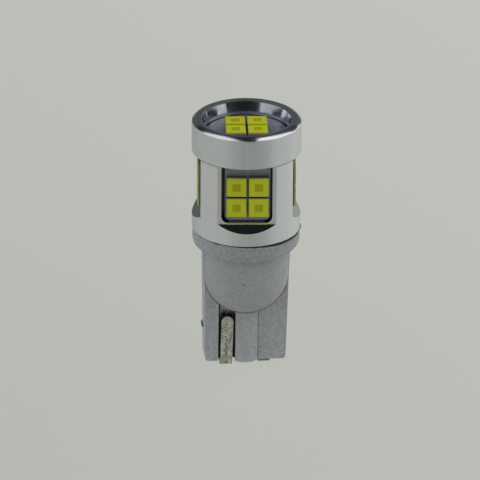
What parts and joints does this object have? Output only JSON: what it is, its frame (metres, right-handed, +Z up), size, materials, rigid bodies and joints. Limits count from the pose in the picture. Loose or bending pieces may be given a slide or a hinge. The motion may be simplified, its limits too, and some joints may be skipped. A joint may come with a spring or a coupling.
{
  "type": "wedge base led bulb",
  "caption": "Capless wedge base bulb: round aluminium head with light emitting diodes on its sides and in a polished dish on top, over a moulded blade with folded contact wires.",
  "frame": {"origin": "on the bulb's axis, at the lower end of the wedge, where the contact wires fold under it", "axes": "+Z up the axis towards the dish, +X along the width of the blade, -Y out of the front face"},
  "size_m": [0.0121, 0.012, 0.0292],
  "materials": {
    "base_plastic": "fine grey grain",
    "contact_wire": "dull tinned wire, pressed flat",
    "turned_aluminium": "satin, fine turning marks",
    "polished_aluminium": "satin outside, polished lip and dish",
    "side_board": "dark solder mask",
    "top_board": "grey solder mask",
    "diode": "yellow phosphor plate on a pale carrier",
    "bond": "cured heat conducting bond",
    "driver_board": "green solder mask",
    "feed_wire": "bare copper wire",
    "component_black": "moulded black",
    "component_ceramic": "fired ceramic with tinned ends"
  },
  "bodies": {
    "root": {"wedge_base": "base_plastic", "front_contact": "contact_wire", "rear_contact": "contact_wire", "heat_sink": "turned_aluminium", "reflector_cap": "polished_aluminium", "top_board": "top_board", "top_bond": "bond", "front_board": "side_board", "front_bond": "bond", "right_board": "side_board", "right_bond": "bond", "rear_board": "side_board", "rear_bond": "bond", "left_board": "side_board", "left_bond": "bond", "top_led_1": "diode", "top_led_2": "diode", "top_led_3": "diode", "top_led_4": "diode", "front_led_1": "diode", "front_led_2": "diode", "front_led_3": "diode", "front_led_4": "diode", "right_led_1": "diode", "right_led_2": "diode", "right_led_3": "diode", "right_led_4": "diode", "rear_led_1": "diode", "rear_led_2": "diode", "rear_led_3": "diode", "rear_led_4": "diode", "left_led_1": "diode", "left_led_2": "diode", "left_led_3": "diode", "left_led_4": "diode", "driver_board": "driver_board", "front_feed_wire_1": "feed_wire", "front_feed_wire_2": "feed_wire", "right_feed_wire_1": "feed_wire", "right_feed_wire_2": "feed_wire", "rear_feed_wire_1": "feed_wire", "rear_feed_wire_2": "feed_wire", "left_feed_wire_1": "feed_wire", "left_feed_wire_2": "feed_wire", "top_feed_wire_1": "feed_wire", "top_feed_wire_2": "feed_wire", "bridge_rectifier": "component_black", "driver_chip": "component_black", "inductor": "component_black", "flyback_diode": "component_black", "input_capacitor": "component_ceramic", "sense_resistor": "component_ceramic"}
  },
  "joints": []
}
